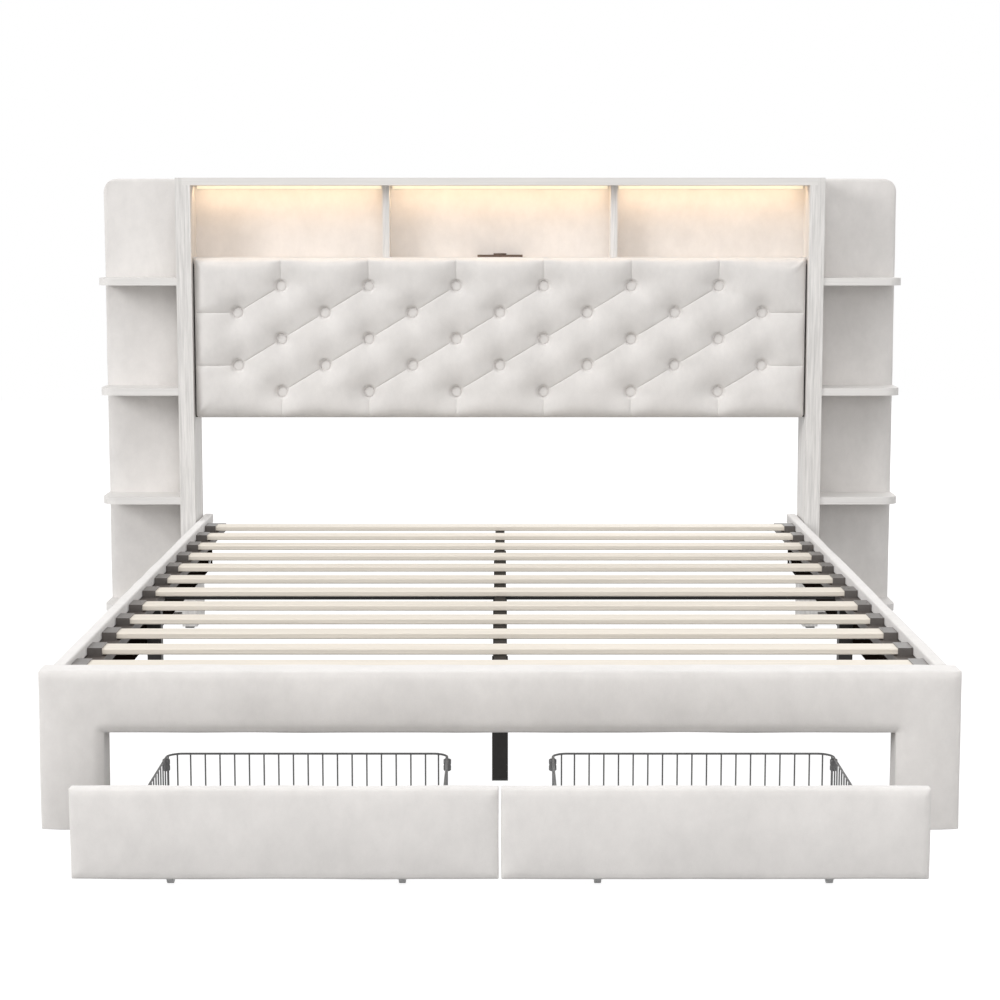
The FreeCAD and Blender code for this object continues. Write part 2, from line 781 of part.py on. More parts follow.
def make_basket():
    left = drawer_middle_x - basket_width / 2 + rim_wire_radius
    right = drawer_middle_x + basket_width / 2 - rim_wire_radius
    bend = basket_corner_radius
    low = basket_base_height
    walls = [(left + bend, basket_front_y, right - bend, basket_front_y),
             (left + bend, basket_rear_y, right - bend, basket_rear_y),
             (left, basket_front_y + bend, left, basket_rear_y - bend),
             (right, basket_front_y + bend, right, basket_rear_y - bend)]
    pieces = []
    for x_start, y_start, x_end, y_end in walls:
        pieces.append(basket_wall(FreeCAD.Vector(x_start, y_start, low), FreeCAD.Vector(x_end, y_end, low)))
    corners = [(right - bend, basket_rear_y - bend), (left + bend, basket_rear_y - bend),
               (left + bend, basket_front_y + bend), (right - bend, basket_front_y + bend)]
    sweep = full_turn / (len(corners) * corner_wire_count)
    for turn, (x, y) in enumerate(corners):
        for index in range(corner_wire_count):
            first_angle = (turn * corner_wire_count + index) * sweep
            pieces.append(basket_bend(FreeCAD.Vector(x, y, low), first_angle, sweep))
    pieces.append(basket_base(left, right))
    save("left_basket", *[mirrored(piece) for piece in pieces])
    save("right_basket", *pieces)


# Hooked clips that hang the basket's front rim on the drawer front
def make_clips():
    rim_top = basket_rim_height + rim_wire_radius + wire_gap
    lip_y = basket_front_y + rim_wire_radius + clip_play
    corners = [(drawer_back_y, rim_top, 0), (drawer_back_y, rim_top + clip_rise, 0),
               (drawer_back_y + clip_plate, rim_top + clip_rise, 0),
               (drawer_back_y + clip_plate, rim_top + clip_plate, 0),
               (lip_y + clip_plate, rim_top + clip_plate, 0), (lip_y + clip_plate, rim_top - clip_drop, 0),
               (lip_y, rim_top - clip_drop, 0), (lip_y, rim_top, 0)]
    clips = []
    for side in (-1, 1):
        middle = drawer_middle_x + side * clip_place
        clips.append(plate(corners, on_yz, middle - clip_length / 2, clip_length))
    save("left_basket_clips", *[mirrored(clip) for clip in clips])
    save("right_basket_clips", *clips)


# Wheels turn on the pins of forks under the basket.
def wheel_spots(axle_y):
    return [FreeCAD.Vector(drawer_middle_x + side * wheel_place, axle_y, wheel_radius) for side in (-1, 1)]


def wheel_fork(spot):
    inner = wheel_width / 2 + fork_play
    outer = inner + fork_plate
    fork = box(spot.x - outer, spot.x + outer, spot.y - fork_half_length, spot.y + fork_half_length,
               fork_top - fork_plate, fork_top)
    for low_x in (spot.x - outer, spot.x + inner):
        cheek = box(low_x, low_x + fork_plate, spot.y - fork_cheek_half, spot.y + fork_cheek_half,
                    spot.z - fork_below_axle, fork_top - fork_plate)
        fork = fork.fuse(cheek)
    return fork.fuse(rod(axle_radius, spot - along_x * outer, spot + along_x * outer))


def drawer_wheel(spot):
    half = along_x * (wheel_width / 2)
    wheel = rod(wheel_radius, spot - half, spot + half)
    rims = [edge for edge in wheel.Edges if abs(edge.BoundBox.YLength - 2 * wheel_radius) < tolerance]
    wheel = wheel.makeFillet(wheel_edge_radius, rims)
    return wheel.cut(rod(axle_radius + axle_clearance, spot - half, spot + half))


def make_running_gear():
    forks = []
    for name, axle_y in (("front_wheels", front_axle_y), ("rear_wheels", rear_axle_y)):
        spots = wheel_spots(axle_y)
        wheels = [drawer_wheel(spot) for spot in spots]
        forks += [wheel_fork(spot) for spot in spots]
        save("left_" + name, *[mirrored(wheel) for wheel in wheels])
        save("right_" + name, *wheels)
    save("left_wheel_brackets", *[mirrored(fork) for fork in forks])
    save("right_wheel_brackets", *forks)


os.makedirs("parts", exist_ok=True)
make_posts()
make_cubbies()
make_lights()
make_charger()
make_tufted_panel()
make_wings()
make_footboard()
make_rails()
make_slats()
make_support()
make_glides()
make_fixings()
make_drawer_front()
make_basket()
make_clips()
make_running_gear()
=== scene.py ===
import json
import math

import bmesh
import bpy
import numpy as np
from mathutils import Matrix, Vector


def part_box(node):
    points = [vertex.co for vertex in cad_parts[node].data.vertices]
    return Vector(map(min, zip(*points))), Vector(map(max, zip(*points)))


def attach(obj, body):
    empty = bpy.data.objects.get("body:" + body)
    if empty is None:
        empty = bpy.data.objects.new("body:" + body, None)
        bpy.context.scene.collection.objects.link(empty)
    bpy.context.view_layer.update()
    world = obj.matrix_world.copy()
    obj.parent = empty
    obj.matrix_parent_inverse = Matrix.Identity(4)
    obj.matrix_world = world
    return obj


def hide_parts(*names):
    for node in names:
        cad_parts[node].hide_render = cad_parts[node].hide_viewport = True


# Looks of an upholstered storage bed, around its packed construction. Lengths are in metres, in the frame
# of the construction: +Z is up, +Y runs to the headboard and +X is the right side seen from the foot end.

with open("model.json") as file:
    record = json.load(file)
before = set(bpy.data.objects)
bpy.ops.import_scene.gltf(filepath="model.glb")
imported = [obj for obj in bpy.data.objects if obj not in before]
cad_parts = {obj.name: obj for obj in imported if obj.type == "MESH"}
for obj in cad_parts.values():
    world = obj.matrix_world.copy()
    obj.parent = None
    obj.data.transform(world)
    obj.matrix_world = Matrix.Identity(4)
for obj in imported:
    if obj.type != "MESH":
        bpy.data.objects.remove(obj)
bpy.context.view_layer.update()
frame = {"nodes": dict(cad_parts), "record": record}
nodes = frame["nodes"]
sides = ("left", "right")
weld_distance = 0.00001

# Camera
camera_place = (0.0, -4.9645, 1.118)
camera_down = math.radians(7.106)
camera_lens = 80.57
camera_sensor = 36.0

# Light
world_strength = 0.80
key_power = 870.0
key_place = (-11.2, -6.2, 5.8)
key_size = 5.0
top_power = 165.0
top_place = (0.0, -4.5, 8.5)
top_size = 6.0
fill_power = 84.0
fill_place = (2.2, -6.5, 1.6)
fill_size = 4.0
back_power = 60.0
back_place = (1.2, 4.6, 3.4)
back_size = 3.0
light_target = (0.0, 0.2, 0.5)
floor_half = 9.0
floor_white = 0.90
floor_shade = 0.25
floor_bounce = 0.34

# Light of the cubbies
led_colour = (1.0, 0.89, 0.66, 1.0)
led_strength = 0.72
glow_colour = (1.0, 0.70, 0.43)
glow_power = 0.53
glow_depth = 0.030
glow_margin = 0.006
glow_below_board = 0.0095
glow_before_back = 0.060
glow_tilt = math.radians(36)
divider_board = 0.019

# Velvet: uneven pile, strokes of the nap and the shades that they give
velvet_colour = (0.71, 0.685, 0.665)
cloud_scale = 7.0
stroke_stretch = (30.0, 30.0, 19.0)
stroke_turn = (0.0, 0.35, 0.0)
stroke_share = 0.4
pile_scale = 1100.0
pile_height = 0.0004
nap_shades = (0.915, 1.075)
speckle_shade = 0.70
speckle_most = 0.12

# Tufting of the headboard panel. A reach is given for the lower right side of a fold and for its upper left.
button_pitch = 0.239
button_row_step = 0.0722
buttons_below_middle = 0.003
button_rows = 5
long_row_half = 3
cells_per_row = 20
button_radius = 0.0145
button_edge = 0.0025
button_dome = 0.0045
button_gathers = 12
button_gather_depth = 0.0014
button_flatness = 8
button_base_share = 0.96
button_rings = 9
dimple_flat = 0.0152
dimple_depth = 0.0115
dimple_reach = (0.055, 0.066)
pit_depth = 0.0080
pit_reach = (0.0055, 0.0075)
pleat_depth = 0.0025
pleat_reach = (0.026, 0.030)
crease_depth = 0.0014
crease_reach = (0.0030, 0.0045)
end_pleat_depth = 0.0025
end_pleat_reach = (0.020, 0.026)
pleat_light_side = math.radians(135)
crease_hold = 0.0008
button_hold = 0.001
refine_button = 0.027
refine_crease = 0.0065
refine_cuts = 2
pad_fuller = 0.0065
pad_rim = 0.015
pad_side_roll = 0.009
pad_top_roll = 0.010
pad_bottom_roll = 0.026
pad_crown = 0.004
pad_crown_reach = 0.060
pad_least = 0.009
pad_corner = 0.010
pad_edge_gaps = (0.0, 0.0006, 0.0018, 0.0036, 0.006, 0.009, 0.0125)
pad_edge_end = 0.0145

# Swelling of the soft pieces
cloth_frames = 20
even_rounds = 7
pad_pressure = 120.0
pad_swell = 0.008
footboard_pressure = 0.6
drawer_pressure = 1.0
wing_pressure = 0.6
cover_swell = 0.012

# Unevenness of the foam: the waves that make it up and the seed that places them in each piece
ripple_waves = 14
ripple_spread = (0.7, 1.5)
ripple_seeds = {"footboard": 11, "left_drawer": 21, "right_drawer": 22, "left_rail": 31, "right_rail": 32,
                "left_wing": 41, "right_wing": 42, "tufted_pad": 51}
pad_ripple = 0.0003
pad_ripple_length = 0.05

# Covers of the boards. A roll is the depth by which a face falls back at its edge, and its radius.
cover_step = 0.036
cover_gaps = (0.004, 0.014)
roll_fade = 0.030
footboard_roll = (0.006, 0.017)
mouth_roll = (0.010, 0.022)
drawer_roll = (0.005, 0.013)
wing_roll = (0.004, 0.010)
cover_rounding = 2
cover_wall = 0.0034
thick_cover_wall = 0.006
cover_ripple = 0.0005
cover_ripple_length = 0.16
rail_gaps = (0.006,)
mouth_half = 0.730
mouth_top = 0.181
rail_flap = 0.024
wing_corner = 0.038

# Sleeves that join the wires at the rear corners of the baskets
sleeve_half_width = 0.0072
sleeve_half_depth = 0.0058
sleeve_height = 0.023
sleeve_below_rim = 0.001
sleeve_sides = 20
sleeve_profile = ((0.0, 0.72), (0.07, 1.0), (0.42, 1.0), (0.5, 0.88), (0.58, 1.0), (0.93, 1.0), (1.0, 0.72))
twin_wire_radius = 0.0015
twin_wire_radii_aside = 1.6
rim_wire_radius = 0.002
basket_bend = 0.028


# Node helpers
def set_input(tree, node, name, value):
    if isinstance(value, bpy.types.NodeSocket):
        tree.links.new(value, node.inputs[name])
    else:
        node.inputs[name].default_value = value


def add_node(tree, kind, inputs, **settings):
    node = tree.nodes.new("ShaderNode" + kind)
    for name, value in settings.items():
        setattr(node, name, value)
    for name, value in inputs.items():
        set_input(tree, node, name, value)
    return node


def start_material(name):
    material = bpy.data.materials.new(name)
    material.use_nodes = True
    tree = material.node_tree
    return material, tree, tree.nodes["Principled BSDF"]


def stretched_place(tree, stretch=(1.0, 1.0, 1.0), turn=(0.0, 0.0, 0.0)):
    source = add_node(tree, "TexCoord", {})
    mapping = add_node(tree, "Mapping", {"Vector": source.outputs["Object"], "Scale": stretch,
                                         "Rotation": turn})
    return mapping.outputs["Vector"]


def noise_value(tree, place, scale, detail=2.0, roughness=0.5):
    texture = add_node(tree, "TexNoise", {"Vector": place, "Scale": scale, "Detail": detail,
                                          "Roughness": roughness})
    return texture.outputs["Fac"]


def spread(tree, value, low, high, to_low=0.0, to_high=1.0):
    node = add_node(tree, "MapRange", {"Value": value, "From Min": low, "From Max": high,
                                       "To Min": to_low, "To Max": to_high})
    return node.outputs["Result"]


def mixed(tree, factor, first, second, blend="MIX"):
    node = add_node(tree, "Mix", {0: factor, 6: first, 7: second}, data_type="RGBA", blend_type=blend)
    return node.outputs[2]


def average(tree, first, second, share):
    node = add_node(tree, "Mix", {0: share, 2: first, 3: second}, data_type="FLOAT")
    return node.outputs[0]


def bump(tree, height, distance):
    node = add_node(tree, "Bump", {"Height": height, "Distance": distance})
    return node.outputs["Normal"]


def shade(colour, share):
    return tuple(part * share for part in colour[:3]) + (1.0,)


# Materials
def velvet(name, colour):
    material, tree, shader = start_material(name)
    clouds = spread(tree, noise_value(tree, stretched_place(tree), cloud_scale, 6.0, 0.68), 0.32, 0.68)
    strokes_place = stretched_place(tree, stroke_stretch, stroke_turn)
    strokes = spread(tree, noise_value(tree, strokes_place, 1.0, 5.0, 0.66), 0.32, 0.68)
    pile = noise_value(tree, stretched_place(tree), pile_scale, 2.0, 0.7)
    nap = average(tree, clouds, strokes, stroke_share)
    brushed = mixed(tree, nap, shade(colour, nap_shades[0]), shade(colour, nap_shades[1]))
    speckle = spread(tree, pile, 0.3, 0.7, 0.0, speckle_most)
    set_input(tree, shader, "Base Color", mixed(tree, speckle, brushed, shade(colour, speckle_shade)))
    set_input(tree, shader, "Roughness", spread(tree, nap, 0.0, 1.0, 0.95, 0.82))
    set_input(tree, shader, "Normal", bump(tree, pile, pile_height))
    shader.inputs["Specular IOR Level"].default_value = 0.15
    shader.inputs["Sheen Weight"].default_value = 0.45
    shader.inputs["Sheen Roughness"].default_value = 0.5
    return material


def grained(name, colour, stretch, contrast, gloss):
    material, tree, shader = start_material(name)
    place = stretched_place(tree, stretch)
    lines = spread(tree, noise_value(tree, place, 1.0, 5.0, 0.68), 0.34, 0.66)
    bands = spread(tree, noise_value(tree, stretched_place(tree, tuple(0.2 * part for part in stretch)),
                                     1.0, 2.0), 0.3, 0.7)
    figure = average(tree, lines, bands, 0.3)
    tone = mixed(tree, figure, shade(colour, 1.0 - contrast), shade(colour, 1.0 + 0.5 * contrast))
    set_input(tree, shader, "Base Color", tone)
    set_input(tree, shader, "Roughness", spread(tree, lines, 0.0, 1.0, gloss + 0.1, gloss))
    set_input(tree, shader, "Normal", bump(tree, lines, 0.0003))
    shader.inputs["Specular IOR Level"].default_value = 0.35
    return material


def raw_board(name, colour, specular=0.2):
    material, tree, shader = start_material(name)
    chips = noise_value(tree, stretched_place(tree), 420.0, 3.0, 0.7)
    patches = noise_value(tree, stretched_place(tree), 14.0, 3.0)
    tone = mixed(tree, spread(tree, chips, 0.3, 0.7), shade(colour, 0.86), shade(colour, 1.12))
    set_input(tree, shader, "Base Color", mixed(tree, spread(tree, patches, 0.3, 0.7, 0.0, 0.25), tone,
                                                shade(colour, 0.8)))
    set_input(tree, shader, "Roughness", spread(tree, chips, 0.3, 0.7, 0.75, 0.9))
    set_input(tree, shader, "Normal", bump(tree, chips, 0.0003))
    shader.inputs["Specular IOR Level"].default_value = specular
    return material


def coated(name, colour, roughness, metallic, grain, depth, specular=0.5):
    material, tree, shader = start_material(name)
    peel = noise_value(tree, stretched_place(tree), grain, 2.0, 0.6)
    wear = noise_value(tree, stretched_place(tree), 24.0, 4.0, 0.65)
    tone = mixed(tree, spread(tree, wear, 0.3, 0.7), shade(colour, 0.88), shade(colour, 1.15))
    set_input(tree, shader, "Base Color", tone)
    set_input(tree, shader, "Roughness", spread(tree, wear, 0.3, 0.7, roughness - 0.06, roughness + 0.06))
    set_input(tree, shader, "Normal", bump(tree, peel, depth))
    shader.inputs["Metallic"].default_value = metallic
    shader.inputs["Specular IOR Level"].default_value = specular
    return material


def lit_diffuser(name, colour, strength):
    material, tree, shader = start_material(name)
    dots = noise_value(tree, stretched_place(tree, (60.0, 1.0, 1.0)), 1.0, 1.0)
    tone = mixed(tree, dots, (0.24, 0.22, 0.19, 1.0), (0.28, 0.26, 0.23, 1.0))
    set_input(tree, shader, "Base Color", tone)
    set_input(tree, shader, "Emission Color", mixed(tree, dots, shade(colour, 0.92), colour))
    shader.inputs["Emission Strength"].default_value = strength
    shader.inputs["Roughness"].default_value = 0.4
    return material


def make_materials():
    board_colour = (0.72, 0.70, 0.68)
    upright_grain = (170.0, 170.0, 7.0)
    level_grain = (2.2, 150.0, 150.0)
    return {
        "velvet": velvet("velvet", velvet_colour),
        "upright_board": grained("upright_board", board_colour, upright_grain, 0.27, 0.5),
        "pale_board": grained("pale_board", board_colour, level_grain, 0.08, 0.5),
        "core_board": raw_board("core_board", (0.52, 0.42, 0.30)),
        # Near-black board inside the rails, without gloss. It is partly a dark lining and partly painted
        # shade for the deep shadow below the rail tops, seen between the slats.
        "rail_lining": raw_board("rail_lining", (0.009, 0.006, 0.0045), 0.0),
        # Nearly black felt behind the tufted panel. Its darkness is partly painted shade, standing in for
        # the shadow in the slots beside the panel.
        "felt_and_painted_shade": raw_board("felt_and_painted_shade", (0.05, 0.046, 0.043), 0.0),
        "slat_wood": grained("slat_wood", (0.745, 0.685, 0.60), (3.0, 120.0, 120.0), 0.10, 0.45),
        "cap_plastic": coated("cap_plastic", (0.115, 0.104, 0.097), 0.32, 0.0, 900.0, 0.0001),
        "ledge_steel": coated("ledge_steel", (0.10, 0.086, 0.078), 0.5, 0.0, 700.0, 0.0001, 0.2),
        # The centre beam's steel is the dark steel made darker still: a painted shade for the shadow the
        # beam lies in under the slats.
        "painted_shade_beam_steel": coated("painted_shade_beam_steel", (0.012, 0.009, 0.007), 0.6, 0.0, 700.0, 0.0001, 0.1),
        "dark_steel": coated("dark_steel", (0.034, 0.032, 0.031), 0.5, 0.0, 700.0, 0.0001, 0.25),
        "basket_wire": coated("basket_wire", (0.15, 0.15, 0.153), 0.38, 0.2, 900.0, 0.00005),
        "bright_steel": coated("bright_steel", (0.56, 0.57, 0.58), 0.34, 1.0, 500.0, 0.00005),
        "wheel_plastic": coated("wheel_plastic", (0.50, 0.50, 0.50), 0.45, 0.0, 800.0, 0.0001),
        "glide_plastic": coated("glide_plastic", (0.035, 0.035, 0.035), 0.6, 0.0, 800.0, 0.0001),
        "led_diffuser": lit_diffuser("led_diffuser", led_colour, led_strength),
        "charger_plastic": coated("charger_plastic", (0.085, 0.05, 0.032), 0.4, 0.0, 900.0, 0.0001),
    }


# Nodes whose finish isn't named after their slot
finishes = {
    "left_post": "upright_board",
    "right_post": "upright_board",
    "left_wing_side": "upright_board",
    "right_wing_side": "upright_board",
    "cubby_dividers": "upright_board",
    # Partly painted shade: the dark felt stands in for the shadow in the slots beside the panel.
    "tufted_board": "felt_and_painted_shade",
    # Painted shade: the beam's darker steel stands in for the shadow it lies in.
    "centre_beam": "painted_shade_beam_steel",
}


def finish_nodes(materials):
    for row in frame["record"]["subparts"]:
        mesh = nodes[row["node"]].data
        mesh.materials.clear()
        mesh.materials.append(materials[finishes.get(row["node"], row["material_slot"])])


# Mesh helpers
def new_piece(name, points, faces):
    mesh = bpy.data.meshes.new(name)
    mesh.from_pydata([tuple(point) for point in points], [], faces)
    mesh.update()
    piece = bpy.data.objects.new(name, mesh)
    bpy.context.scene.collection.objects.link(piece)
    return piece


def apply_modifiers(piece):
    graph = bpy.context.evaluated_depsgraph_get()
    rough = piece.data
    piece.data = bpy.data.meshes.new_from_object(piece.evaluated_get(graph))
    piece.modifiers.clear()
    bpy.data.meshes.remove(rough)


def read_points(mesh):
    values = np.zeros(len(mesh.vertices) * 3)
    mesh.vertices.foreach_get("co", values)
    return values.reshape(-1, 3)


def read_normals(mesh):
    values = np.zeros(len(mesh.vertices) * 3, np.float32)
    mesh.vertex_normals.foreach_get("vector", values)
    return values.reshape(-1, 3).astype(float)


def write_points(mesh, points):
    mesh.vertices.foreach_set("co", points.astype(np.float32).ravel())
    mesh.update()


def finish_piece(piece, material, body, replaced):
    piece.data.materials.clear()
    piece.data.materials.append(material)
    piece.data.shade_smooth()
    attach(piece, body)
    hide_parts(replaced)


# A smooth uneven value at each point, about -1 to 1 and the same on every run.
def ripple(points, length, seed):
    chooser = np.random.default_rng(seed)
    directions = chooser.normal(size=(ripple_waves, 3))
    directions /= np.linalg.norm(directions, axis=1)[:, None]
    lengths = length * chooser.uniform(*ripple_spread, ripple_waves)
    phases = chooser.uniform(0, 2 * math.pi, ripple_waves)
    angles = points @ (directions / lengths[:, None]).T * 2 * math.pi + phases
    return np.sin(angles).sum(axis=1) / math.sqrt(ripple_waves)


# Blows a piece up as cloth that stays where held is true. No point moves further than the reach.
def swell(piece, held, pressure, reach):
    scene = bpy.context.scene
    start = read_points(piece.data)
    group = piece.vertex_groups.new(name="held")
    group.add([int(index) for index in np.flatnonzero(held)], 1.0, "REPLACE")
    cloth = piece.modifiers.new("cloth", "CLOTH")
    cloth.settings.vertex_group_mass = group.name
    cloth.settings.use_pressure = True
    cloth.settings.uniform_pressure_force = pressure
    cloth.settings.effector_weights.gravity = 0.0
    for step in range(1, cloth_frames + 1):
        scene.frame_set(step)
    graph = bpy.context.evaluated_depsgraph_get()
    move = read_points(piece.evaluated_get(graph).data) - start
    move = evened(piece.data, move, held)
    piece.modifiers.clear()
    piece.vertex_groups.clear()
    scene.frame_set(1)
    length = np.maximum(np.linalg.norm(move, axis=1), 1e-9)
    share = reach * np.tanh(length / reach) / length
    write_points(piece.data, start + move * share[:, None])


# Evens out the small wrinkles that the simulation leaves, by drawing each free point's move nearer to those
# of its neighbours.
def evened(mesh, move, held):
    edges = np.zeros(len(mesh.edges) * 2, np.int32)
    mesh.edges.foreach_get("vertices", edges)
    pairs = edges.reshape(-1, 2)
    points = np.concatenate([pairs[:, 0], pairs[:, 1]])
    neighbours = np.concatenate([pairs[:, 1], pairs[:, 0]])
    count = np.bincount(points, minlength=len(move))
    for step in range(even_rounds):
        around = np.stack([np.bincount(points, move[neighbours, axis], len(move)) / count
                           for axis in range(3)], axis=1)
        move = np.where(held[:, None], move, (move + around) / 2)
    return move


# Places from low to high about a step apart, with closer ones at the given gaps from each end.
def ring_places(low, high, gaps, step):
    first = low + gaps[-1]
    last = high - gaps[-1]
    count = max(1, round((last - first) / step))
    starts = [low] + [low + gap for gap in gaps[:-1]]
    ends = [high - gap for gap in gaps[-2::-1]] + [high]
    return starts + list(np.linspace(first, last, count + 1)) + ends


# The outer faces of the filled cells between three sets of planes. shown(axis, side, middle) says which
# faces the cover has: axis counts X, Y and Z, and side is -1 or 1.
def cage(name, places, filled, shown):
    numbers = {}
    points = []
    faces = []

    def corner(index):
        if index not in numbers:
            numbers[index] = len(points)
            points.append([places[axis][index[axis]] for axis in range(3)])
        return numbers[index]

    sizes = [len(line) - 1 for line in places]
    for cell in np.ndindex(*sizes):
        if not filled(*cell_middle(places, cell)):
            continue
        for axis in range(3):
            for side in (-1, 1):
                beside = list(cell)
                beside[axis] += side
                inside = 0 <= beside[axis] < sizes[axis]
                if inside and filled(*cell_middle(places, beside)):
                    continue
                middle = cell_middle(places, cell)
                middle[axis] = places[axis][cell[axis] + (side + 1) // 2]
                if shown(axis, side, middle):
                    faces.append([corner(index) for index in face_corners(cell, axis, side)])
    return new_piece(name, points, faces)


def cell_middle(places, cell):
    return [(places[axis][cell[axis]] + places[axis][cell[axis] + 1]) / 2 for axis in range(3)]


def face_corners(cell, axis, side):
    across = (axis + 1) % 3
    along = (axis + 2) % 3
    corners = []
    for step_across, step_along in ((0, 0), (1, 0), (1, 1), (0, 1)):
        index = list(cell)
        index[axis] += (side + 1) // 2
        index[across] += step_across
        index[along] += step_along
        corners.append(tuple(index))
    return corners if side > 0 else corners[::-1]


# Rounds a cage and makes its faces uneven as foam under cloth is.
def round_cover(piece, seed):
    rounding = piece.modifiers.new("rounding", "SUBSURF")
    rounding.levels = cover_rounding
    rounding.render_levels = cover_rounding
    rounding.boundary_smooth = "PRESERVE_CORNERS"
    apply_modifiers(piece)
    points = read_points(piece.data)
    uneven = cover_ripple * ripple(points, cover_ripple_length, seed)
    write_points(piece.data, points + read_normals(piece.data) * uneven[:, None])


# Gives a cover its thickness, inwards from its outer face.
def thicken(piece, wall):
    thickness = piece.modifiers.new("thickness", "SOLIDIFY")
    thickness.thickness = wall
    thickness.offset = -1.0
    thickness.use_even_offset = True
    apply_modifiers(piece)


# Rolls the front of a cover back along its edges, and swells the face between. edges holds, for each part
# of the outline, how far every point is from it and the depth and radius of its roll.
def crown_front(piece, front, edges, pressure):
    points = read_points(piece.data)
    near = np.clip(1 - (points[:, 1] - front) / roll_fade, 0, 1)
    deepest = max(depth for distance, (depth, radius) in edges)
    full = np.ones(len(points))
    for distance, (depth, radius) in edges:
        full *= 1 - depth / deepest * (1 - np.clip(distance / radius, 0, 1)) ** 2
    points[:, 1] += near * deepest * (1 - full)
    write_points(piece.data, points)
    from_edges = np.min([distance for distance, roll in edges], axis=0)
    on_face = (points[:, 1] < front + deepest) & (from_edges > cover_gaps[0])
    swell(piece, ~on_face, pressure, cover_swell)


# Soft covers
def make_footboard(materials):
    low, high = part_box("footboard_cover")
    across = (ring_places(low.x, -mouth_half, cover_gaps, cover_step)
              + ring_places(-mouth_half, mouth_half, cover_gaps, cover_step)[1:]
              + ring_places(mouth_half, high.x, cover_gaps, cover_step)[1:])
    upward = (ring_places(low.z, mouth_top, cover_gaps, cover_step)
              + ring_places(mouth_top, high.z, cover_gaps, cover_step)[1:])
    places = [across, ring_places(low.y, high.y, cover_gaps, cover_step), upward]

    def filled(x, y, z):
        return abs(x) > mouth_half or z > mouth_top

    def shown(axis, side, middle):
        return not (axis == 2 and side < 0 and middle[2] < mouth_top / 2)

    piece = cage("footboard_padding", places, filled, shown)
    round_cover(piece, ripple_seeds["footboard"])
    points = read_points(piece.data)
    beside = np.abs(points[:, 0])
    from_mouth = np.hypot(np.maximum(beside - mouth_half, 0), np.maximum(points[:, 2] - mouth_top, 0))
    edges = [(high.x - beside, footboard_roll), (high.z - points[:, 2], footboard_roll),
             (from_mouth, mouth_roll)]
    crown_front(piece, low.y, edges, footboard_pressure)
    thicken(piece, thick_cover_wall)
    finish_piece(piece, materials["velvet"], "base", "footboard_cover")


def make_drawer_cover(materials, side):
    low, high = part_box(side + "_drawer_cover")
    places = [ring_places(low[axis], high[axis], cover_gaps, cover_step) for axis in range(3)]
    places[1] = ring_places(low.y, high.y, cover_gaps[:1], cover_step)
    piece = cage(side + "_drawer_padding", places, lambda x, y, z: True,
                 lambda axis, face, middle: not (axis == 1 and face > 0))
    round_cover(piece, ripple_seeds[side + "_drawer"])
    points = read_points(piece.data)
    distances = (points[:, 0] - low.x, high.x - points[:, 0], points[:, 2] - low.z, high.z - points[:, 2])
    crown_front(piece, low.y, [(distance, drawer_roll) for distance in distances], drawer_pressure)
    thicken(piece, cover_wall)
    finish_piece(piece, materials["velvet"], side + "_drawer", side + "_drawer_cover")


def make_rail_cover(materials, side):
    low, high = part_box(side + "_rail_cover")
    inward = 1 if side == "left" else -1
    flap_low = high.z - rail_flap
    upward = (ring_places(low.z, flap_low, rail_gaps, cover_step)
              + ring_places(flap_low, high.z, rail_gaps, cover_step)[1:])
    places = [ring_places(low.x, high.x, rail_gaps, cover_step),
              ring_places(low.y, high.y, rail_gaps, cover_step), upward]

    def shown(axis, face, middle):
        inner_face = axis == 0 and face == inward
        if axis == 1 or (axis == 2 and face < 0):
            return False
        return not inner_face or middle[2] > flap_low

    piece = cage(side + "_rail_padding", places, lambda x, y, z: True, shown)
    round_cover(piece, ripple_seeds[side + "_rail"])
    thicken(piece, cover_wall)
    finish_piece(piece, materials["velvet"], "base", side + "_rail_cover")


def make_wing_cover(materials, side):
    low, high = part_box(side + "_wing_pad")
    inward = 1 if side == "left" else -1
    outer = low.x if side == "left" else high.x
    places = [ring_places(low[axis], high[axis], cover_gaps, cover_step) for axis in range(3)]
    places[1] = ring_places(low.y, high.y, cover_gaps[:1], cover_step)

    def shown(axis, face, middle):
        hidden = (axis == 1 and face > 0) or (axis == 2 and face < 0) or (axis == 0 and face == inward)
        return not hidden

    piece = cage(side + "_wing_padding", places, lambda x, y, z: True, shown)
    round_cover(piece, ripple_seeds[side + "_wing"])
    points = read_points(piece.data)
    round_corner(points, outer, -inward, high.z, wing_corner)
    write_points(piece.data, points)
    edges = [(np.abs(points[:, 0] - outer), wing_roll), (high.z - points[:, 2], wing_roll)]
    crown_front(piece, low.y, edges, wing_pressure)
    thicken(piece, thick_cover_wall)
    finish_piece(piece, materials["velvet"], "base", side + "_wing_pad")


# Moves the points near a square upper corner of an upright panel onto a round one.
def round_corner(points, outer, outward, top, radius):
    across = 1 - (outer - points[:, 0]) * outward / radius
    upward = 1 - (top - points[:, 2]) / radius
    near = (across > 0) & (upward > 0)
    u = across[near]
    v = upward[near]
    round_u = u * np.sqrt(1 - v ** 2 / 2)
    round_v = v * np.sqrt(1 - u ** 2 / 2)
    points[near, 0] = outer - outward * radius * (1 - round_u)
    points[near, 2] = top - radius * (1 - round_v)


# Tufted panel: its solid's box, a little wider, because the panel is fuller at its sides.
def pad_box():
    low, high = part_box("tufted_pad")
    fuller = Vector((pad_fuller, 0.0, 0.0))
    return low - fuller, high + fuller


def buttons_middle():
    low, high = pad_box()
    return (low.z + high.z) / 2 - buttons_below_middle


def button_places():
    places = []
    for row in range(button_rows):
        height = buttons_middle() + (row - (button_rows - 1) / 2) * button_row_step
        is_long = row % 2 == 1
        count = 2 * long_row_half + 1 if is_long else 2 * long_row_half
        for index in range(count):
            places.append((row, (index - (count - 1) / 2) * button_pitch, height))
    return places


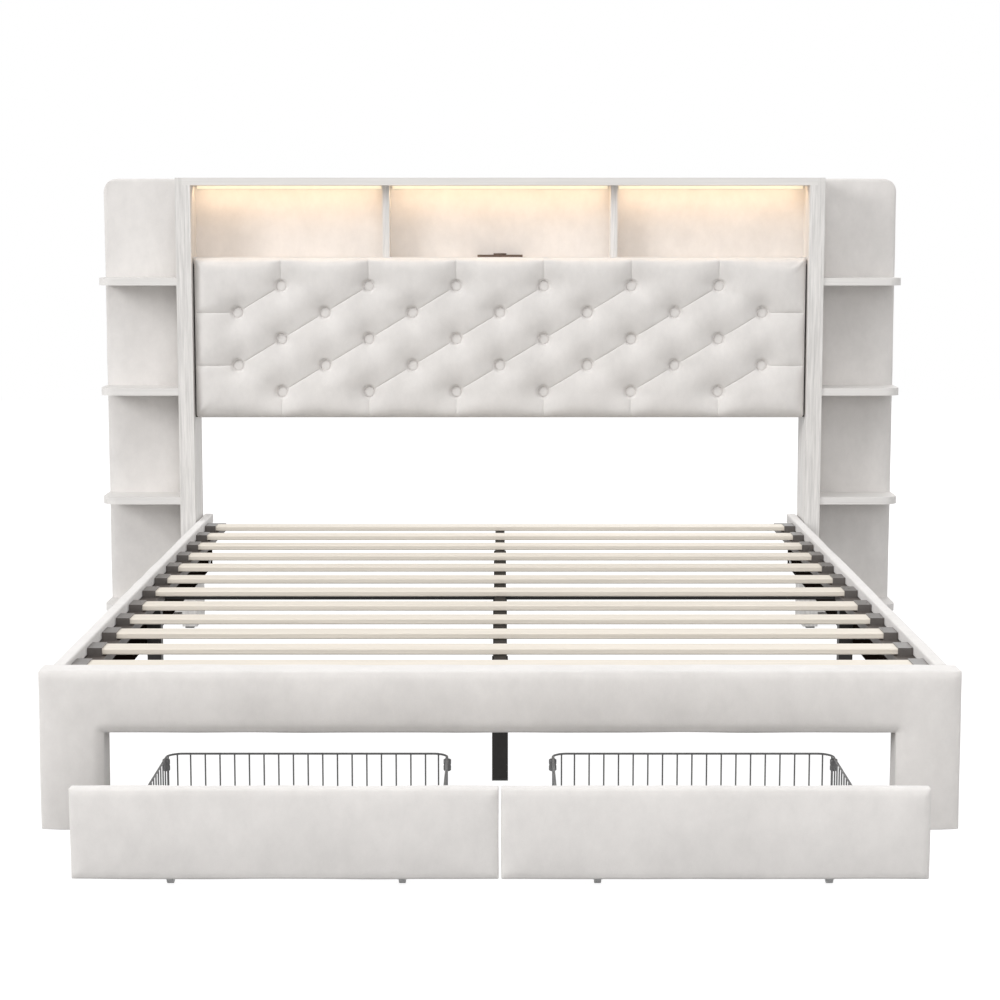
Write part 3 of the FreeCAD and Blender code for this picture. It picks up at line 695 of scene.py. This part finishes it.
# Pleats as start and end, the long ones first. Those run up and to the right from button to button, and
# the short ones from the outer buttons to the edge of the pad.
def pleat_lines():
    low, high = pad_box()
    places = button_places()
    heights = {(row, round(x, 4)): z for row, x, z in places}
    long_lines = []
    end_lines = []
    for row, x, z in places:
        upper = (row + 1, round(x + button_pitch / 2, 4))
        if upper in heights:
            long_lines.append(((x, z), (upper[1], heights[upper])))
        if row == 0:
            end_lines.append(((x, z), (x, low.z)))
        if row == button_rows - 1:
            end_lines.append(((x, z), (x, high.z)))
        if abs(x) > (long_row_half - 0.1) * button_pitch:
            side = high.x if x > 0 else low.x
            end_lines.append(((x, z), (side, z)))
    return long_lines, end_lines


# How far points of the panel lie from a line, across and up.
def away_from(x, z, start, end):
    start = np.array(start)
    run = np.array(end) - start
    length = max(run @ run, 1e-12)
    share = np.clip(((x - start[0]) * run[0] + (z - start[1]) * run[1]) / length, 0, 1)
    return x - start[0] - share * run[0], z - start[1] - share * run[1]


# Depth of a fold at points of the panel. The fold falls away slowly on its upper left side and fast on
# its lower right side.
def fold_depth(away, depth, reach, flat=0.0):
    distance = np.hypot(*away)
    turn = np.cos(np.arctan2(away[1], away[0]) - pleat_light_side)
    width = reach[0] + (reach[1] - reach[0]) * (1 + turn) / 2
    share = np.clip((distance - flat) / width, 0, 1)
    return depth * (1 - share) ** 2


def edge_roll(distance, radius):
    outward = 1 - np.clip(distance / radius, 0, 1)
    return np.sqrt(1 - outward ** 2)


# Share of its fullness that the panel has, falling off in a roll at its edges.
def pad_roll(x, z):
    low, high = pad_box()
    side = np.minimum(x - low.x, high.x - x)
    return (edge_roll(side, pad_side_roll) * edge_roll(high.z - z, pad_top_roll)
            * edge_roll(z - low.z, pad_bottom_roll))


# Depth of the dimples round the buttons and of the pleats between them.
def wide_folds(x, z):
    pleats = np.zeros_like(x)
    long_lines, end_lines = pleat_lines()
    for lines, depth, reach in ((long_lines, pleat_depth, pleat_reach),
                                (end_lines, end_pleat_depth, end_pleat_reach)):
        for start, end in lines:
            pleats += fold_depth(away_from(x, z, start, end), depth, reach) ** 4
    dimples = np.zeros_like(x)
    for row, button_x, button_z in button_places():
        away = (x - button_x, z - button_z)
        dimples += fold_depth(away, dimple_depth, dimple_reach, dimple_flat) ** 4
    return dimples ** 0.25 + pleats ** 0.25


# Depth of the pits that the buttons sit in and of the creases in the pleats.
def narrow_folds(x, z):
    depth = np.zeros_like(x)
    for lines in pleat_lines():
        for start, end in lines:
            depth = np.maximum(depth, fold_depth(away_from(x, z, start, end), crease_depth, crease_reach))
    for row, button_x, button_z in button_places():
        away = (x - button_x, z - button_z)
        depth = np.maximum(depth, fold_depth(away, pit_depth, pit_reach, dimple_flat))
    return depth


# Whether points of the panel lie closer to a button or a pleat than the limits.
def near_folds(x, z, button_limit, crease_limit):
    near = np.zeros_like(x, dtype=bool)
    for lines in pleat_lines():
        for start, end in lines:
            near |= np.hypot(*away_from(x, z, start, end)) < crease_limit
    for row, button_x, button_z in button_places():
        near |= np.hypot(x - button_x, z - button_z) < button_limit
    return near


# Thickness of the panel before it swells.
def pad_thickness(x, z):
    low, high = pad_box()
    crest = high.y - low.y
    side = np.minimum(x - low.x, high.x - x)
    roll = pad_roll(x, z)
    full = pad_rim + (crest - pad_rim) * roll
    full -= pad_crown * roll * (1 - np.clip(side / pad_crown_reach, 0, 1)) ** 2
    return np.maximum(full - wide_folds(x, z) * roll, pad_least)


# Splits the faces of the panel's front near buttons and pleats, where the folds are narrow.
def refine_folds(piece, front_count):
    points = read_points(piece.data)
    near = near_folds(points[:, 0], points[:, 2], refine_button, refine_crease)
    near[front_count:] = False
    mesh = bmesh.new()
    mesh.from_mesh(piece.data)
    edges = [edge for edge in mesh.edges if near[edge.verts[0].index] and near[edge.verts[1].index]]
    bmesh.ops.subdivide_edges(mesh, edges=edges, cuts=refine_cuts, use_grid_fill=True)
    bmesh.ops.triangulate(mesh, faces=[face for face in mesh.faces if len(face.verts) > 4])
    mesh.to_mesh(piece.data)
    mesh.free()


# Presses the narrow folds into the swollen panel.
def press_folds(piece):
    back = pad_box()[1].y
    points = read_points(piece.data)
    thickness = back - points[:, 1]
    pressed = thickness - narrow_folds(points[:, 0], points[:, 2]) * pad_roll(points[:, 0], points[:, 2])
    points[:, 1] = back - np.maximum(np.minimum(thickness, pad_least), pressed)
    write_points(piece.data, points)


def make_tufted_pad(materials):
    low, high = pad_box()
    columns = pad_places(low.x, high.x, 0.0, button_pitch / 2 / cells_per_row)
    rows = pad_places(low.z, high.z, buttons_middle(), button_row_step / cells_per_row)
    x, z = np.meshgrid(columns, rows)
    front = np.stack([x, high.y - pad_thickness(x, z), z], axis=-1).reshape(-1, 3)
    front[:, 1] -= pad_ripple * ripple(front, pad_ripple_length, ripple_seeds["tufted_pad"])
    points = list(front)
    faces = grid_faces(len(columns), len(rows))
    border = grid_border(len(columns), len(rows))
    add_pad_sides(points, faces, border, high.y)
    piece = new_piece("tufted_cushion", points, faces)
    close_back(piece)
    round_pad_corners(piece)
    hold = np.ones(len(piece.data.vertices), dtype=bool)
    hold[:len(front)] = near_folds(front[:, 0], front[:, 2], dimple_flat + button_hold, crease_hold)
    hold[border] = True
    swell(piece, hold, pad_pressure, pad_swell)
    refine_folds(piece, len(front))
    press_folds(piece)
    finish_piece(piece, materials["velvet"], "base", "tufted_pad")


# Two triangles for each cell of a grid of points, row by row.
def grid_faces(width, height):
    faces = []
    for row in range(height - 1):
        for column in range(width - 1):
            corner = row * width + column
            faces.append((corner, corner + 1, corner + width + 1))
            faces.append((corner, corner + width + 1, corner + width))
    return faces


# The points along the outline of such a grid, in order.
def grid_border(width, height):
    lower = list(range(width))
    right = [row * width + width - 1 for row in range(1, height)]
    upper = [(height - 1) * width + column for column in range(width - 2, -1, -1)]
    left = [row * width for row in range(height - 2, 0, -1)]
    return lower + right + upper + left


# Sides of the panel, from the border of its front to its back in two steps.
def add_pad_sides(points, faces, border, back):
    ring = border
    for share in (0.5, 1.0):
        next_ring = list(range(len(points), len(points) + len(border)))
        for index in border:
            spot = points[index].copy()
            spot[1] += (back - spot[1]) * share
            points.append(spot)
        for place in range(len(border)):
            after = (place + 1) % len(border)
            faces.append((ring[after], ring[place], next_ring[place], next_ring[after]))
        ring = next_ring


# Grid places that hit every button and pleat, with close ones at the ends for the rolled edge.
def pad_places(low, high, middle, step):
    first = math.ceil((low - middle) / step)
    last = math.floor((high - middle) / step)
    inner = [middle + index * step for index in range(first, last + 1)]
    inner = [place for place in inner if low + pad_edge_end < place < high - pad_edge_end]
    starts = [low + gap for gap in pad_edge_gaps]
    ends = [high - gap for gap in pad_edge_gaps[::-1]]
    return np.array(starts + inner + ends)


def close_back(piece):
    mesh = bmesh.new()
    mesh.from_mesh(piece.data)
    rim = [edge for edge in mesh.edges if edge.is_boundary]
    bmesh.ops.triangle_fill(mesh, use_beauty=True, edges=rim)
    bmesh.ops.recalc_face_normals(mesh, faces=mesh.faces)
    mesh.to_mesh(piece.data)
    mesh.free()


def round_pad_corners(piece):
    low, high = pad_box()
    points = read_points(piece.data)
    for outer, outward in ((low.x, -1), (high.x, 1)):
        round_corner(points, outer, outward, high.z, pad_corner)
        points[:, 2] *= -1
        round_corner(points, outer, outward, -low.z, pad_corner)
        points[:, 2] *= -1
    write_points(piece.data, points)


def make_buttons(materials):
    low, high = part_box("tuft_buttons")
    back = high.y
    segments = 4 * button_gathers
    points = []
    faces = []
    for row, x, z in button_places():
        first = len(points)
        for ring in range(button_rings):
            turn = 0.5 * math.pi * ring / (button_rings - 2)
            for segment in range(segments):
                angle = 2 * math.pi * segment / segments
                gather = 0.5 + 0.5 * math.cos(button_gathers * angle)
                if ring < button_rings - 1:
                    out = math.sin(turn)
                    radius = button_radius * out
                    rise = button_edge + button_dome * math.sqrt(1 - out ** button_flatness)
                    rise -= button_gather_depth * gather * out ** 4
                else:
                    radius = button_radius * button_base_share
                    rise = 0.0
                points.append((x + radius * math.cos(angle), back - rise, z + radius * math.sin(angle)))
        for ring in range(button_rings - 1):
            faces += ring_faces(first + ring * segments, segments)
        last = first + (button_rings - 1) * segments
        faces.append([last + segment for segment in range(segments)])
    piece = new_piece("covered_buttons", points, faces)
    clean_mesh(piece)
    finish_piece(piece, materials["velvet"], "base", "tuft_buttons")


# Faces between one ring of points and the ring after it.
def ring_faces(first, count):
    faces = []
    for index in range(count):
        after = (index + 1) % count
        faces.append((first + index, first + count + index, first + count + after, first + after))
    return faces


def clean_mesh(piece):
    mesh = bmesh.new()
    mesh.from_mesh(piece.data)
    bmesh.ops.remove_doubles(mesh, verts=mesh.verts, dist=weld_distance)
    bmesh.ops.recalc_face_normals(mesh, faces=mesh.faces)
    mesh.to_mesh(piece.data)
    mesh.free()


# Baskets: a crimped sleeve at each rear corner and the twin wire that it holds
def make_sleeves(materials, side):
    low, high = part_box(side + "_basket")
    y = high.y - rim_wire_radius - basket_bend
    top = high.z - 2 * rim_wire_radius - sleeve_below_rim
    points = []
    faces = []
    for x in (low.x + rim_wire_radius, high.x - rim_wire_radius):
        rings = []
        for share, swelling in sleeve_profile:
            rings.append((top - sleeve_height * (1 - share), sleeve_half_width * swelling,
                          sleeve_half_depth * swelling))
        add_rings(points, faces, x, y, rings)
        aside = twin_wire_radii_aside * twin_wire_radius
        wire_x = x + math.copysign(aside, (low.x + high.x) / 2 - x)
        add_rings(points, faces, wire_x, y, [(low.z, twin_wire_radius, twin_wire_radius),
                                             (top, twin_wire_radius, twin_wire_radius)])
    piece = new_piece(side + "_basket_sleeves", points, faces)
    clean_mesh(piece)
    piece.data.materials.append(materials["basket_wire"])
    piece.data.shade_smooth()
    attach(piece, side + "_drawer")


# A closed upright form through oval rings given as (height, half width, half depth).
def add_rings(points, faces, x, y, rings):
    first = len(points)
    for height, half_width, half_depth in rings:
        for index in range(sleeve_sides):
            angle = 2 * math.pi * index / sleeve_sides
            points.append((x + half_width * math.cos(angle), y + half_depth * math.sin(angle), height))
    for ring in range(len(rings) - 1):
        faces.extend(ring_faces(first + ring * sleeve_sides, sleeve_sides))
    last = first + (len(rings) - 1) * sleeve_sides
    faces.append([first + index for index in range(sleeve_sides)])
    faces.append([last + index for index in range(sleeve_sides)])


# Stage
def make_floor():
    corners = [(-floor_half, -floor_half, 0), (floor_half, -floor_half, 0),
               (floor_half, floor_half, 0), (-floor_half, floor_half, 0)]
    floor = new_piece("floor", corners, [(0, 1, 2, 3)])
    material = bpy.data.materials.new("floor")
    material.use_nodes = True
    tree = material.node_tree
    tree.nodes.clear()
    white = add_node(tree, "Emission", {"Color": (1.0, 1.0, 1.0, 1.0), "Strength": floor_white})
    faint = add_node(tree, "BsdfDiffuse", {"Color": shade((1.0, 1.0, 1.0), floor_shade)})
    both = add_node(tree, "AddShader", {0: white.outputs[0], 1: faint.outputs[0]})
    plain = add_node(tree, "BsdfDiffuse", {"Color": shade((1.0, 1.0, 1.0), floor_bounce)})
    choice = add_node(tree, "MixShader", {0: seen_directly(tree), 1: plain.outputs[0], 2: both.outputs[0]})
    output = add_node(tree, "OutputMaterial", {"Surface": choice.outputs[0]})
    output.is_active_output = True
    floor.data.materials.append(material)


# 1 where the camera sees a surface, straight, in a reflection or through glass, and 0 for other light.
def seen_directly(tree):
    path = add_node(tree, "LightPath", {})
    seen = add_node(tree, "Math", {0: path.outputs["Is Camera Ray"], 1: path.outputs["Is Glossy Ray"]},
                    operation="MAXIMUM")
    shown = add_node(tree, "Math", {0: seen.outputs[0], 1: path.outputs["Is Transmission Ray"]},
                     operation="MAXIMUM")
    return shown.outputs[0]


def make_world():
    world = bpy.data.worlds.new("studio")
    bpy.context.scene.world = world
    world.use_nodes = True
    tree = world.node_tree
    tree.nodes.clear()
    strength = spread(tree, seen_directly(tree), 0.0, 1.0, world_strength, 1.0)
    sky = add_node(tree, "Background", {"Color": (1.0, 1.0, 1.0, 1.0), "Strength": strength})
    add_node(tree, "OutputWorld", {"Surface": sky.outputs[0]})


def add_light(name, place, power, size):
    lamp = bpy.data.lights.new(name, "AREA")
    lamp.energy = power
    lamp.size = size
    holder = bpy.data.objects.new(name, lamp)
    bpy.context.scene.collection.objects.link(holder)
    holder.location = place
    aim = Vector(light_target) - holder.location
    holder.rotation_euler = aim.to_track_quat("-Z", "Y").to_euler()


# The glow of the light strips: a long lamp under the top board of each cubby, shining back and down.
def add_cubby_glow():
    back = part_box("cubby_back")[0].y
    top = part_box("top_board")[0].z
    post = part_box("right_post")[0].x
    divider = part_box("cubby_dividers")[1].x
    inner = divider - divider_board
    for index, (low, high) in enumerate(((-post, -divider), (-inner, inner), (divider, post))):
        lamp = bpy.data.lights.new("cubby_glow_%d" % (index + 1), "AREA")
        lamp.shape = "RECTANGLE"
        lamp.size = high - low - 2 * glow_margin
        lamp.size_y = glow_depth
        lamp.energy = glow_power * lamp.size
        lamp.color = glow_colour
        holder = bpy.data.objects.new(lamp.name, lamp)
        bpy.context.scene.collection.objects.link(holder)
        holder.location = ((low + high) / 2, back - glow_before_back, top - glow_below_board)
        holder.rotation_euler = (glow_tilt, 0, 0)
        holder.visible_camera = False


def add_camera():
    lens = bpy.data.cameras.new("camera")
    lens.lens = camera_lens
    lens.sensor_width = camera_sensor
    holder = bpy.data.objects.new("camera", lens)
    bpy.context.scene.collection.objects.link(holder)
    holder.location = camera_place
    holder.rotation_euler = (math.radians(90) - camera_down, 0, 0)
    bpy.context.scene.camera = holder


materials = make_materials()
finish_nodes(materials)
make_tufted_pad(materials)
make_buttons(materials)
make_footboard(materials)
for side in sides:
    make_drawer_cover(materials, side)
    make_rail_cover(materials, side)
    make_wing_cover(materials, side)
    make_sleeves(materials, side)
make_floor()
make_world()
add_light("key", key_place, key_power, key_size)
add_light("top", top_place, top_power, top_size)
add_light("fill", fill_place, fill_power, fill_size)
add_light("back", back_place, back_power, back_size)
add_cubby_glow()
add_camera()
bpy.context.scene.view_settings.view_transform = "Standard"
